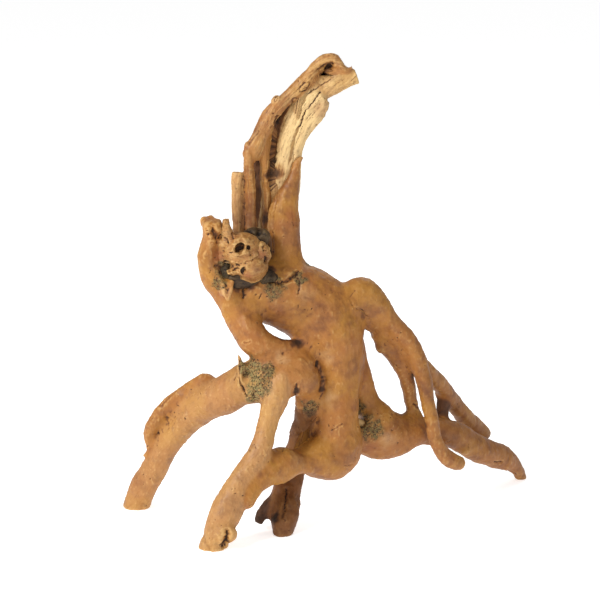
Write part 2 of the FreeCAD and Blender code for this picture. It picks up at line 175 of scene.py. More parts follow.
STROKES = [  # gouges and ridges seen from the front: root, line as shares of its width and height, half breadth, height (down is negative) and darkness, which is dark cracks and painted shade in a gouge (negative pales a ridge, as broken pale wood and painted highlight)
    # half breadth, height (down is negative) and darkness (negative bleaches)
    ("skull", [(0.37, 0.55), (0.42, 0.61)], 4.2, -2.6, 0.75), ("skull", [(0.54, 0.61)], 0.5, -0.8, 0.6),
    ("skull", [(0.24, 0.54), (0.3, 0.66), (0.42, 0.71), (0.52, 0.67)], 2.4, 1.5, -0.4),
    ("skull", [(0.33, 0.47), (0.45, 0.5), (0.51, 0.58)], 2.2, 1.6, -0.55),
    ("skull", [(0.6, 0.57), (0.63, 0.49)], 3.8, -1.9, 0.45),
    ("skull", [(0.47, 0.36), (0.58, 0.39), (0.71, 0.46)], 2.3, 1.4, -0.55),
    ("skull", [(0.52, 0.22), (0.56, 0.33)], 2.2, 1.0, -0.45), ("skull", [(0.48, 0.22)], 3.2, -2.8, 1.0),
    ("skull", [(0.3, 0.29)], 2.3, -1.4, 0.7), ("skull", [(0.37, 0.3)], 1.6, -1.2, 0.7),
    ("skull", [(0.25, 0.24), (0.36, 0.24)], 1.3, -1.2, 0.7), ("skull", [(0.41, 0.27)], 1.5, 0.8, -0.5),
    ("skull", [(0.21, 0.34), (0.32, 0.35)], 1.8, 0.9, -0.6),
    ("skull", [(0.13, 0.18), (0.24, 0.2), (0.33, 0.17)], 1.9, 1.3, -0.5),
    ("skull", [(0.18, 0.11), (0.35, 0.07)], 2.4, -2.4, 1.0),
    ("skull", [(0.86, 0.57), (0.9, 0.51)], 1.7, -2.0, 1.0),
    ("skull", [(0.9, 0.55), (0.96, 0.49)], 1.4, 1.0, -0.4),
    ("skull", [(0.93, 0.39), (0.9, 0.32)], 1.9, -2.0, 1.0),
    ("skull", [(0.13, 0.64), (0.06, 0.7)], 1.6, -1.8, 1.0),
    ("skull", [(0.17, 0.5), (0.24, 0.51)], 1.0, -0.9, 0.6),
    ("skull", [(0.08, 0.3), (0.12, 0.2)], 3.0, -2.2, 0.8),
    ("skull", [(0.24, 0.72), (0.26, 0.8)], 1.3, -0.9, 0.7), ("nape", [(0.43, 2.1)], 3.6, -3.5, 1.0),
    ("nape", [(0.25, 2.35), (0.45, 2.5), (0.6, 2.2)], 1.6, 1.6, -0.4),
    ("nape", [(0.05, 2.3), (0.2, 2.1), (0.34, 1.9)], 1.6, -1.8, 1.0),
    ("nape", [(-0.05, 2.1), (0.15, 1.85), (0.3, 1.6)], 1.4, -1.4, 1.0),
    ("left_arm", [(0.14, 0.92), (0.19, 0.88)], 4.6, -4.5, 0.9),
    ("left_arm", [(0.15, 0.97), (0.15, 0.92)], 3.4, -1.4, 0.25),
    ("left_arm", [(0.19, 0.84), (0.18, 0.74)], 4.5, -1.8, 0.3),
    ("left_arm", [(0.12, 0.86), (0.05, 0.72)], 3.0, 1.0, -0.7),
    ("left_arm", [(0.2, 0.68), (0.25, 0.62)], 4.5, -2.2, 0.9),
    ("left_arm", [(0.27, 0.54), (0.27, 0.48)], 2.4, -1.2, 0.6),
    ("left_arm", [(0.43, 0.15), (0.48, 0.165)], 1.2, -0.8, 0.5),
    ("torso", [(0.1, 0.92), (0.11, 0.88)], 2.6, -1.6, 0.6),
    ("torso", [(0.14, 0.9), (0.18, 0.915), (0.23, 0.9)], 1.8, 0.8, -0.4),
    ("torso", [(0.2, 0.875)], 1.9, -1.1, 0.6), ("torso", [(0.23, 0.86), (0.24, 0.88)], 1.3, -1.0, 0.6),
    ("torso", [(0.26, 0.95), (0.35, 0.925), (0.43, 0.93), (0.51, 0.965)], 2.2, -2.2, 0.8),
    ("torso", [(0.5, 0.96), (0.53, 0.92), (0.51, 0.88)], 1.6, -1.0, 0.5),
    ("torso", [(0.93, 0.875), (0.9, 0.84), (0.93, 0.8), (0.99, 0.79)], 1.5, -0.6, 0.3),
    ("torso", [(0.76, 0.28), (0.84, 0.31)], 0.9, -0.6, 0.6),
    ("torso", [(0.4, 0.23), (0.58, 0.26)], 1.0, -0.6, 0.5),
    ("torso", [(0.86, 0.13), (0.92, 0.12)], 1.2, -0.6, 0.45),
    ("knee_filler", [(0.31, 1.0), (0.27, 0.7), (0.36, 0.45), (0.42, 0.28)], 1.5, -1.8, 1.0),
    ("knee_filler", [(0.24, 0.75), (0.17, 0.6)], 1.0, -0.8, 0.5),
    ("knee_filler", [(0.55, 0.5), (0.62, 0.42)], 1.4, -1.1, 0.7),
    ("knee_boss", [(0.65, 0.56), (0.63, 0.3)], 2.0, -1.4, 0.55),
    ("front_leg", [(0.33, 0.13), (0.29, 0.03)], 3.2, -4.5, 1.0),
    ("front_leg", [(0.05, 0.08), (0.14, 0.02)], 3.5, -1.0, 0.5),
    ("left_leg", [(0.32, 0.72), (0.44, 0.82)], 1.6, -0.8, 0.6),
    ("right_root", [(0.7, 0.35), (0.75, 0.33)], 1.8, -1.6, 0.9),
    ("right_root", [(0.75, 0.2), (0.9, 0.1)], 1.4, -0.9, 0.5),
    ("haunch", [(0.83, 0.83), (0.93, 0.72)], 2.2, -1.2, 0.8),
    ("right_arm", [(0.36, 0.9), (0.42, 0.87)], 1.6, -1.3, 0.8),
    ("inner_strand", [(0.1, 0.82), (0.13, 0.75)], 2.5, -1.5, 0.8),
    ("back_leg", [(0.35, 0.32), (0.3, 0.15)], 2.6, -1.6, 0.8),
    ("mane_crest", [(0.7, 0.86), (0.8, 0.9)], 3.2, -3.0, 1.0),
    ("mane_crest", [(0.27, 0.6), (0.33, 0.64)], 1.2, -0.6, 0.5),
    ("mane_crest", [(0.06, 0.17), (0.14, 0.3)], 1.3, -0.9, 0.7),
    ("mane_plate", [(0.88, 0.99), (0.66, 0.87), (0.5, 0.72)], 1.2, -1.3, 0.7),
    ("mane_plate", [(0.66, 0.87), (0.58, 0.78), (0.46, 0.66)], 1.0, -0.9, 0.8),
    ("mane_plate", [(0.28, 0.84), (0.22, 0.7), (0.2, 0.5), (0.25, 0.38)], 3.2, -2.4, 1.0),
    ("mane_plate", [(0.98, 0.9), (0.8, 0.72), (0.72, 0.6)], 1.3, 0.8, -0.3),
    ("mane_tip", [(0.2, 0.55), (0.6, 0.85)], 1.1, -0.7, 0.5),
    ("mane_wall", [(0.02, 0.2), (0.03, 0.5), (0.1, 0.68)], 1.9, 1.0, -1.0),
    ("mane_wall", [(0.12, 0.2), (0.13, 0.5), (0.22, 0.7)], 1.0, -0.6, 0.4),
    ("mane_wall", [(0.45, 0.25), (0.5, 0.75)], 3.5, -0.5, 0.15),
]
RINGS = [  # closed dark lines let into the mane: root, middle, two radii and lean
    ("mane_crest", (0.56, 0.7), 6.0, 3.2, 38), ("mane_crest", (0.47, 0.55), 3.0, 5.4, -18),
]
STAINS = {  # patches of each kind: middle as shares of a root's box, then radius
    "moss": [
        ("knee_filler", (0.5, 0.1, 0.9), 12), ("knee_filler", (0.75, 0.05, 0.55), 13),
        ("knee_filler", (0.6, 0.2, 0.3), 11), ("knee_boss", (0.2, 0.15, 0.75), 12),
        ("torso", (0.34, 0.55, 0.9), 12), ("torso", (0.42, 0.6, 0.87), 9),
        ("torso", (0.51, 0.6, 0.93), 9), ("skull", (0.04, 0.5, 0.2), 10),
        ("left_arm", (0.56, 0.4, 0.08), 12), ("left_arm", (0.75, 0.6, 0.05), 10),
        ("haunch", (0.28, 0.1, 0.6), 14), ("left_leg", (0.9, 0.3, 0.92), 9),
        ("left_arm", (0.2, 0.3, 0.57), 9), ("left_leg", (0.45, 0.3, 0.72), 8),
        ("mane_wall", (0.95, 0.5, 0.05), 9), ("nape", (0.9, 0.4, 1.5), 8),
        ("haunch", (0.1, 0.2, 0.9), 12), ("back_leg", (0.9, 0.5, 0.95), 10),
    ],
    # dark patches: painted shade in creases, under parts and behind them, with a few dark seams
    "dark": [
        ("haunch", (0.04, 0.2, 0.45), 13), ("haunch", (0.1, 0.3, 0.25), 10),
        ("right_arm", (0.13, 0.2, 0.83), 9), ("skull", (0.55, 0.7, -0.02), 11),
        ("skull", (0.25, 0.6, -0.05), 9), ("skull", (0.95, 0.8, 0.15), 9),
        ("knee_boss", (1.0, 0.6, 0.35), 5), ("back_leg", (0.85, 0.2, 0.9), 9),
        ("back_leg", (0.6, 0.3, 0.75), 9), ("left_arm", (0.78, 0.4, 0.19), 11),
        ("left_arm", (0.9, 0.45, 0.13), 10), ("left_arm", (0.66, 0.4, 0.27), 8),
        ("back_leg", (0.2, 0.2, 0.35), 14), ("back_leg", (0.35, 0.5, 0.6), 14),
        ("back_leg", (0.1, 0.2, 0.12), 10), ("mane_back", (0.3, 0.1, 0.12), 12),
        ("mane_back", (0.3, 0.1, 0.3), 11), ("mane_back", (0.34, 0.1, 0.5), 10),
        ("inner_strand", (0.55, 0.4, 0.6), 7), ("inner_strand", (0.85, 0.5, 0.4), 8),
        ("haunch", (0.9, 0.3, 0.55), 8), ("torso", (0.29, 0.55, 0.95), 8),
        ("rear_peg", (0.5, 0.5, 0.4), 14), ("left_leg", (0.55, 0.3, 0.55), 7),
        ("left_arm", (0.17, 0.2, 0.895), 5), ("knee_boss", (0.64, 0.1, 0.42), 6),
        ("right_root", (0.15, 0.3, 0.5), 8), ("right_root", (0.45, 0.15, 0.32), 7),
        ("front_leg", (0.32, 0.0, 0.06), 5),
    ],
    # pale patches: paler wood and painted highlight on tops and on edges lit from the left
    "pale": [
        ("knee_boss", (0.45, 0.2, 0.98), 11), ("torso", (0.74, 0.5, 0.42), 15),
        ("torso", (0.72, 0.5, 0.6), 13), ("left_arm", (0.04, 0.3, 0.93), 9),
        ("left_arm", (0.0, 0.4, 0.8), 11), ("left_arm", (0.03, 0.4, 0.68), 9),
        ("left_arm", (0.24, 0.1, 0.5), 8), ("skull", (0.1, 0.5, 0.8), 12),
        ("skull", (0.25, 0.3, 0.5), 9), ("left_leg", (0.75, 0.2, 0.85), 14),
        ("left_leg", (0.5, 0.25, 0.7), 14), ("front_leg", (0.75, 0.1, 0.75), 12),
        ("mane_wall", (0.02, 0.3, 0.45), 9), ("mane_wall", (0.1, 0.3, 0.7), 8),
        ("torso", (0.58, 0.5, 0.88), 13), ("torso", (0.55, 0.3, 0.2), 14),
        ("haunch", (0.5, 0.1, 0.4), 12), ("mane_crest", (0.3, 0.3, 0.62), 12),
        ("right_arm", (0.45, 0.2, 0.8), 10), ("mane_rod_long", (0.5, 0.2, 0.98), 14),
    ],
    # umber patches: painted shade, soft brown on the shaded sides of the arms, chest, roots and skull
    "umber_shade": [
        ("left_arm", (0.8, 0.5, 0.16), 16), ("left_arm", (0.66, 0.4, 0.25), 12),
        ("torso", (0.33, 0.6, 0.8), 38), ("torso", (0.6, 0.6, 0.8), 34),
        ("skull", (0.8, 0.3, 0.22), 19), ("skull", (0.72, 0.2, 0.52), 13),
        ("right_root", (0.3, 0.2, 0.6), 26), ("right_root", (0.6, 0.2, 0.4), 24),
        ("far_root", (0.5, 0.5, 0.5), 40), ("right_arm", (0.2, 0.2, 0.86), 16),
        ("right_arm", (0.7, 0.5, 0.45), 30), ("torso", (0.95, 0.5, 0.55), 20),
        ("torso", (0.95, 0.5, 0.75), 16), ("torso", (0.6, 0.3, 0.22), 22),
        ("torso", (0.85, 0.4, 0.18), 24), ("mane_wall", (0.6, 0.3, 0.35), 22),
        ("mane_wall", (0.6, 0.3, 0.75), 16), ("haunch", (0.3, 0.3, 0.9), 18),
        ("mane_crest", (0.12, 0.3, 0.3), 12), ("mane_rod_long", (0.6, 0.3, 0.4), 30),
        ("inner_strand", (0.4, 0.5, 0.6), 26), ("skull", (0.6, 0.2, 0.1), 12),
        ("skull", (0.08, 0.5, 0.36), 9), ("left_arm", (0.17, 0.3, 0.74), 18),
        ("left_arm", (0.14, 0.3, 0.95), 6), ("torso", (0.5, 0.3, 0.9), 14),
        ("left_leg", (0.5, 0.2, 0.55), 16), ("knee_boss", (0.9, 0.3, 0.5), 10),
        ("mane_tip", (0.5, 0.3, 0.3), 12),
    ],
    "red": [
        ("mane_crest", (0.02, 0.3, 0.13), 6), ("left_arm", (0.45, 0.2, 0.155), 4),
        ("skull", (0.55, 0.1, 0.13), 5), ("skull", (0.9, 0.3, 0.44), 7),
        ("mane_plate", (0.72, 0.1, 0.64), 6), ("mane_plate", (0.85, 0.1, 0.78), 5),
        ("mane_wall", (0.6, 0.1, 0.9), 6), ("left_arm", (0.2, 0.2, 0.45), 8),
        ("torso", (0.9, 0.5, 0.4), 16), ("left_arm", (0.18, 0.2, 0.75), 9),
        ("mane_wall", (0.55, 0.1, 0.55), 9), ("back_leg", (0.6, 0.1, 0.25), 10),
        ("torso", (0.35, 0.2, 0.23), 10), ("left_leg", (0.35, 0.1, 0.35), 14),
        ("haunch", (0.3, 0.1, 0.3), 10),
    ],
}
SOLID_CORE = {"moss": 0.4, "dark": 0.15}  # share of a patch's radius that is full strength, or 0.1

# ---------------------------------------------------------------------------------------------
# Noise and number helpers
# ---------------------------------------------------------------------------------------------


def smooth_step(low, high, value):
    """0 below low, 1 above high, and an S-curve between."""
    share = np.clip((value - low) / (high - low), 0, 1)
    return share * share * (3 - 2 * share)


def wander(points, seed):
    """Smooth seeded noise, about -1 to 1, at rows of points whose unit is one lattice step."""
    rng = np.random.default_rng(seed)
    shuffle = rng.permutation(256)
    slopes = rng.normal(size=(256, 3))
    slopes /= np.linalg.norm(slopes, axis=1)[:, None]
    cell = np.floor(points).astype(int)
    inside = points - cell
    fade = inside ** 3 * (inside * (inside * 6 - 15) + 10)
    total = np.zeros(len(points))
    for corner in itertools.product((0, 1), repeat=3):
        index = np.zeros(len(points), int)
        weight = np.ones(len(points))
        for axis in range(3):
            index = shuffle[(index + cell[:, axis] + corner[axis]) % 256]
            weight *= fade[:, axis] if corner[axis] else 1 - fade[:, axis]
        total += weight * (slopes[index] * (inside - corner)).sum(1)
    return total * 1.7


def layered(points, seed, octaves=3):
    """Several layers of noise, each half the size and strength of the one before."""
    return sum(wander(points * 2 ** i + 17.3 * i, seed + i) / 2 ** i for i in range(octaves))


def ridged(points, seed):
    """Noise with sharp crests: 1 on a crest, falling to about 0 between."""
    return 1 - np.abs(wander(points, seed))


def line_gap(points, line):
    """How far each point of a plane is from a line of straight runs in it."""
    gap = np.full(len(points), np.inf)
    for start, end in zip(line, line[1:] if len(line) > 1 else line):
        run = end - start
        share = np.clip((points - start) @ run / max(run @ run, 1e-9), 0, 1)
        gap = np.minimum(gap, np.linalg.norm(points - start - share[:, None] * run, axis=1))
    return gap


# ---------------------------------------------------------------------------------------------
# Mesh helpers
# ---------------------------------------------------------------------------------------------


class Skin:
    """A mesh as arrays, in millimetres: points, normals and edges."""

    def __init__(self, mesh):
        self.mesh = mesh
        self.count = len(mesh.vertices)
        flat = np.empty(self.count * 3, np.float32)
        mesh.vertices.foreach_get("co", flat)
        self.points = flat.reshape(-1, 3) / MM
        flat = np.empty(len(mesh.edges) * 2, np.int32)
        mesh.edges.foreach_get("vertices", flat)
        self.edges = flat.reshape(-1, 2)
        self.share = 1 / np.maximum(np.bincount(self.edges.ravel(), minlength=self.count), 1)
        self.refresh()

    def refresh(self):
        """Writes the points to the mesh and reads its new normals."""
        self.mesh.vertices.foreach_set("co", (self.points * MM).astype(np.float32).ravel())
        self.mesh.update()
        flat = np.empty(self.count * 3, np.float32)
        self.mesh.vertices.foreach_get("normal", flat)
        self.normals = flat.reshape(-1, 3).astype(float)

    def push(self, amount):
        """Moves each point along its normal."""
        self.points = self.points + self.normals * amount[:, None]

    def average(self, column):
        """Each point's mean of its neighbours."""
        first, second = self.edges.T
        forth = np.bincount(first, column[second], self.count)
        back = np.bincount(second, column[first], self.count)
        return (forth + back) * self.share

    def blurred(self, field, rounds):
        """A field mixed with its neighbours' mean a number of times."""
        columns = np.array(field, float).reshape(self.count, -1).T
        for _ in range(rounds):
            columns = [0.5 * (column + self.average(column)) for column in columns]
        return np.array(columns).T.reshape(np.shape(field))

    def soften(self, rounds, weight=1.0):
        """Smooths the skin, more where the weight is higher."""
        self.points += (self.blurred(self.points, rounds) - self.points) * np.reshape(weight, (-1, 1))
        self.refresh()

    def hollows(self, rounds):
        """How far each point lies below the smoothed skin; negative where it stands proud."""
        return ((self.blurred(self.points, rounds) - self.points) * self.normals).sum(1)

    def fill_creases(self, weight, rounds):
        """Lets the skin creep outwards like a film wherever it is hollow."""
        for turn in range(rounds):
            if turn % 6 == 0:
                self.refresh()
            mean = np.stack([self.average(column) for column in self.points.T], 1)
            self.push(0.9 * weight * np.maximum(((mean - self.points) * self.normals).sum(1), 0))
        self.refresh()

    def paint(self, name, field):
        """Stores a field on the mesh, for its material to read."""
        kind = "FLOAT" if field.ndim == 1 else "FLOAT_VECTOR"
        layer = self.mesh.attributes.new(name, kind, "POINT")
        layer.data.foreach_set("value" if kind == "FLOAT" else "vector", field.astype(np.float32).ravel())


def add_object(name, mesh):
    """A new object in the scene for a mesh."""
    obj = bpy.data.objects.new(name, mesh)
    bpy.context.scene.collection.objects.link(obj)
    return obj


def remeshed(name, bm, voxel):
    """A closed, evenly meshed object from the shapes in a bmesh, which is used up."""
    rough = bpy.data.meshes.new(name + "_rough")
    bm.to_mesh(rough)
    bm.free()
    obj = add_object(name, rough)
    remesh = obj.modifiers.new("even", "REMESH")
    remesh.mode = "VOXEL"
    remesh.voxel_size = voxel * MM
    bpy.context.view_layer.update()
    even = bpy.data.meshes.new_from_object(obj.evaluated_get(bpy.context.evaluated_depsgraph_get()))
    obj.modifiers.clear()
    obj.data = even
    even.name = name
    bpy.data.meshes.remove(rough)
    return obj


def cad_copy(bm, node):
    """Adds the merged mesh of a CAD node to a bmesh."""
    bm.from_mesh(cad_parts[node].data)
    bmesh.ops.remove_doubles(bm, verts=bm.verts, dist=0.005 * MM)


def add_shapes(bm, node):
    """Adds a root, with its eggs and splinters, to a bmesh."""
    if node not in AFRESH:
        cad_copy(bm, node)
    for shares, radii in EGGS.get(node, ()):
        size = Matrix.Diagonal((*(radius * MM for radius in radii), 1))
        place = Matrix.Translation(Vector(within(node, *shares)) * MM)
        bmesh.ops.create_icosphere(bm, subdivisions=4, radius=1, matrix=place @ size)
    for start, end, thick, thin in SPLINTERS.get(node, ()):
        start, end = (Vector(within(node, *shares)) * MM for shares in (start, end))
        turn = (end - start).to_track_quat("Z", "Y").to_matrix().to_4x4()
        bmesh.ops.create_cone(
            bm, cap_ends=True, segments=12, radius1=thick * MM, radius2=thin * MM,
            depth=(end - start).length, matrix=Matrix.Translation((start + end) / 2) @ turn,
        )


def distances(points, nodes, limit):
    """How far each point is from each node's CAD skin, up to a limit, one column for each node."""
    found = np.full((len(points), len(nodes)), float(limit))
    for column, node in enumerate(nodes):
        low, high = (np.array(corner) / MM for corner in BOXES[node])
        near = np.nonzero(((points > low - limit) & (points < high + limit)).all(1))[0]
        find = TREES[node].find_nearest
        gaps = (find(point, limit * MM)[3] for point in (points[near] * MM).tolist())
        found[near, column] = [limit if gap is None else gap / MM for gap in gaps]
    return found


def centreline(points, edges, step=9.0):
    """Points along the middle of a root, found from the distances along its skin."""
    coarse = np.unique(np.round(points / 4).astype(int), axis=0, return_inverse=True)[1].ravel()
    size = coarse.max() + 1
    tally = np.maximum(np.bincount(coarse, minlength=size), 1)
    cells = np.stack([np.bincount(coarse, column, size) / tally for column in points.T], 1)
    links = np.unique(np.sort(coarse[edges], axis=1), axis=0)
    near = [[] for _ in range(size)]
    for a, b in links[links[:, 0] != links[:, 1]].tolist():
        gap = float(np.linalg.norm(cells[a] - cells[b]))
        near[a].append((b, gap))
        near[b].append((a, gap))

    def walk(start):
        found = np.full(size, np.inf)
        found[start] = 0
        queue = [(0.0, start)]
        while queue:
            here, cell = heapq.heappop(queue)
            if here > found[cell]:
                continue
            for other, gap in near[cell]:
                if here + gap < found[other]:
                    found[other] = here + gap
                    heapq.heappush(queue, (here + gap, other))
        return np.where(np.isfinite(found), found, 0)

    away = walk(int(np.argmax(walk(0))))
    bins = max(2, int(away.max() / step))
    which = np.minimum((away / (away.max() + 1e-6) * bins).astype(int), bins - 1)
    line = np.array([cells[which == i].mean(0) for i in range(bins) if (which == i).any()])
    for _ in range(3):
        line[1:-1] = 0.5 * line[1:-1] + 0.25 * (line[:-2] + line[2:])
    return line


def grain_coordinates(points, edges):
    """Each point's place in its root: two distances across the centreline and one along it."""
    line = centreline(points, edges)
    if len(line) < 3:
        return points - points.mean(0)
    runs = line[1:] - line[:-1]
    lengths = np.linalg.norm(runs, axis=1)
    directions = runs / lengths[:, None]
    starts = np.concatenate([[0], np.cumsum(lengths)[:-1]])
    side = np.cross(directions[0], (0.3, 1.0, 0.2))
    locals_, gaps = [], []
    for start, direction, length, begin in zip(line, directions, lengths, starts):
        side = side - direction * (side @ direction)
        side = side / np.linalg.norm(side)
        offset = points - start
        run = np.clip(offset @ direction, 0, length)
        gaps.append(np.linalg.norm(offset - run[:, None] * direction, axis=1))
        locals_.append(np.stack([
            offset @ side, offset @ np.cross(direction, side), begin + offset @ direction], 1))
    nearest = np.min(gaps, 0)
    reach = 0.6 * lengths.mean()
    weights = [np.exp(-((gap - nearest) / reach) ** 2 * 4)[:, None] for gap in gaps]
    return sum(weight * local for weight, local in zip(weights, locals_)) / sum(weights)


# ---------------------------------------------------------------------------------------------
# Growing roots into one another
# ---------------------------------------------------------------------------------------------


def blends(gaps, nodes):
    """How near each point is to a filleted joint: 1 at the joint, 0 at its fillet's reach."""
    near = np.zeros(len(gaps))
    for (first, second), reach in FILLETS.items():
        if first in nodes and second in nodes:
            gap = np.maximum(gaps[:, nodes.index(first)], gaps[:, nodes.index(second)])
            near = np.maximum(near, 1 - gap / reach)
    return np.clip(near, 0, 1)


def fillet_film(name, nodes, voxel):
    """A coarse skin over a bunch of roots, filled out at their joints and sunk a little elsewhere."""
    bm = bmesh.new()
    for node in nodes:
        add_shapes(bm, node)
    film = remeshed(name + "_film", bm, voxel)
    skin = Skin(film.data)
    before = skin.points.copy()
    near = blends(distances(skin.points, nodes, FILM_REACH), nodes)
    skin.fill_creases(smooth_step(0, 0.5, near), FILM_ROUNDS)
    lift = np.linalg.norm(skin.points - before, axis=1)
    skin.push(-0.25 * voxel * (1 - smooth_step(0.1, 0.8, lift)))
    skin.refresh()
    return film


def grown(name, voxel, nodes):
    """One closed skin over a bunch of roots, with its lumps, fillets and mesh size."""
    film = fillet_film(name, nodes, FILM_COARSENESS * voxel) if len(nodes) > 1 else None
    bm = bmesh.new()
    for node in nodes:
        add_shapes(bm, node)
    if film:
        bm.from_mesh(film.data)
        bpy.data.objects.remove(film)
    return remeshed(name, bm, voxel)


def owners(skin, gaps):
    """The column of the root that each point belongs to, with smooth borders."""
    nearest = np.argmin(gaps, 1)
    votes = [skin.blurred((nearest == column).astype(float), 8) for column in range(gaps.shape[1])]
    return np.argmax(votes, 0)


def ring_line(middle, wide, high, lean):
    """A closed line round a leaning ellipse that faces the front."""
    line = []
    for step in range(RING_STEPS + 1):
        turn = math.tau * step / RING_STEPS
        across, up = wide * math.cos(turn), high * math.sin(turn)
        line.append((
            middle[0] + across * math.cos(lean) - up * math.sin(lean), 0,
            middle[2] + across * math.sin(lean) + up * math.cos(lean),
        ))
    return line


def stroke_heights(skin, nodes):
    """The heights and the darkness of the gouges and ridges of a bunch's roots: dark cracks and painted
    shade in the gouges, pale wood and painted highlight on the ridges.
    """
    height = np.zeros(skin.count)
    shade = np.zeros(skin.count)
    front = smooth_step(0.45, -0.15, skin.normals[:, 1])
    flat = skin.points[:, (0, 2)].copy()
    for column in (0, 1):
        wobble = 1.1 * wander(skin.points / 5.5, 77 + column)
        flat[:, column] += wobble + 0.5 * wander(skin.points / 1.8, 79 + column)
    lines = [(node, [within(node, fx, 0, fz) for fx, fz in line], *rest) for node, line, *rest in STROKES]
    for node, (fx, fz), wide, high, lean in RINGS:
        ring = ring_line(within(node, fx, 0, fz), wide, high, math.radians(lean))
        lines.append((node, ring, RING_BREADTH, RING_HEIGHT, 1.0))
    uneven = 1.1 + 0.5 * wander(skin.points / 4.5, 85)
    broken = 0.45 + 0.45 * smooth_step(-0.5, 0.3, wander(skin.points / 2.6, 83))
    for node, line, breadth, depth, darkness in lines:
        if node not in nodes:
            continue
        low, high = (np.array(corner) / MM for corner in BOXES[node])
        close = (skin.points[:, 1] < high[1] + 6) & (skin.points[:, 1] > low[1] - 12)
        gap = line_gap(flat, np.array(line)[:, (0, 2)])
        profile = smooth_step(breadth * 1.5, 0, gap * uneven) * front * close
        height += depth * profile
        if darkness > 0:
            shade = np.maximum(shade, darkness * profile * broken)
        else:
            shade = np.where(profile > 0.2, shade * (1 - profile), shade)
            shade = np.where(shade > 0, shade, darkness * profile)
    return height, shade


def stains(skin):
    """Where a bunch has patches of each kind, from 0 to 1, with ragged edges."""
    ragged = 0.3 * layered(skin.points / 7, 300, 3)
    fields = {}
    for kind, patches in STAINS.items():
        fields[kind] = np.zeros(skin.count)
        for node, shares, radius in patches:
            gap = np.linalg.norm(skin.points - within(node, *shares), axis=1)
            inner = SOLID_CORE.get(kind, 0.1)
            fields[kind] = np.maximum(fields[kind], smooth_step(1.3, inner, gap / radius + ragged))
    return {kind: skin.blurred(field, 2) for kind, field in fields.items()}


def relief(skin, nodes, looks, owner, near, grain, moss):
    """The wood's own relief, then its grit, dark marks and tones; the dark and umber tones of each root are
    painted shade.
    """
    def look(name):
        per_node = np.array([{**PLAIN, **looks[node][1]}[name] for node in nodes])
        return skin.blurred(per_node[owner], 12)

    spot = skin.points
    away = 1 - smooth_step(0.1, 0.7, near)
    grit = np.clip(look("grit") * smooth_step(-0.2, 0.6, wander(spot / 18, 44)) + moss, 0, 1.2)
    height = look("lumps") * (layered(spot / 26, 3, 2) + 0.25 * wander(spot / 7, 8))
    height += 0.25 * layered(grain * (1 / 4, 1 / 4, 1 / 11), 19, 2) * away
    height += 0.32 * layered(spot / (3.6, 5.0, 5.6), 23, 2)
    height += look("flutes") * wander(grain * (1 / 7, 1 / 7, 1 / 80), 5) * away
    height += look("fibres") * 2 * (ridged(grain * (1 / 2.4, 1 / 2.4, 1 / 26), 9) - 0.6) * away
    waves = grain * (1 / 24, 1 / 24, 1 / 3.4) + 0.5 * wander(spot / 12, 2)[:, None]
    patch = smooth_step(-0.1, 0.5, wander(spot / 30, 21))
    height += look("rings") * (smooth_step(0.55, 1.0, ridged(waves, 13)) - 0.3) * patch * away
    height += 0.75 * grit * layered(spot / 2.4, 40, 2)
    pitted = smooth_step(0.1, 0.5, wander(spot / 24, 63) + 0.5 * grit)
    pits = smooth_step(0.55, 0.8, wander(spot / 2.6, 61)) * pitted
    height -= 0.9 * pits
    slit = smooth_step(0.97, 0.995, ridged(grain * (1 / 9, 1 / 9, 1 / 40), 17)) * away
    slit *= smooth_step(0.25, 0.5, wander(spot / 14, 31))
    height -= 0.7 * slit
    marks = np.maximum(0.8 * pits, 0.9 * slit)
    return height, np.clip(grit, 0, 1), marks, look("pale"), look("dark"), look("umber_shade")


def split(obj, nodes, owner):
    """Cuts a bunch's skin into a closed piece for each root, by node."""
    mesh = obj.data
    corners = np.empty(len(mesh.loops), np.int32)
    mesh.loops.foreach_get("vertex_index", corners)
    starts = np.empty(len(mesh.polygons), np.int32)
    mesh.polygons.foreach_get("loop_start", starts)
    mesh.materials.clear()
    for node in nodes:
        mesh.materials.append(bpy.data.materials.new("of_" + node))
    mesh.polygons.foreach_set("material_index", owner[corners[starts]].astype(np.int32))
    mesh.update()
    bpy.ops.object.select_all(action="DESELECT")
    obj.select_set(True)
    bpy.context.view_layer.objects.active = obj
    bpy.ops.object.mode_set(mode="EDIT")
    bpy.ops.mesh.select_all(action="SELECT")
    bpy.ops.mesh.separate(type="MATERIAL")
    bpy.ops.object.mode_set(mode="OBJECT")
    pieces = {}
    for piece in bpy.context.selected_objects:
        slot = piece.data.polygons[0].material_index
        node = piece.data.materials[slot].name.removeprefix("of_")
        pieces[node] = piece
        bm = bmesh.new()
        bm.from_mesh(piece.data)
        rim = [edge for edge in bm.edges if edge.is_boundary]
        caps = bmesh.ops.holes_fill(bm, edges=rim, sides=0)["faces"]
        bmesh.ops.poke(bm, faces=caps, offset=-CAP_SINK * MM, center_mode="MEAN")
        for edge in rim:
            edge.smooth = False
        bm.to_mesh(piece.data)
        bm.free()
        piece.name = piece.data.name = node + "_root"
        for polygon in piece.data.polygons:
            polygon.use_smooth = True
    return pieces


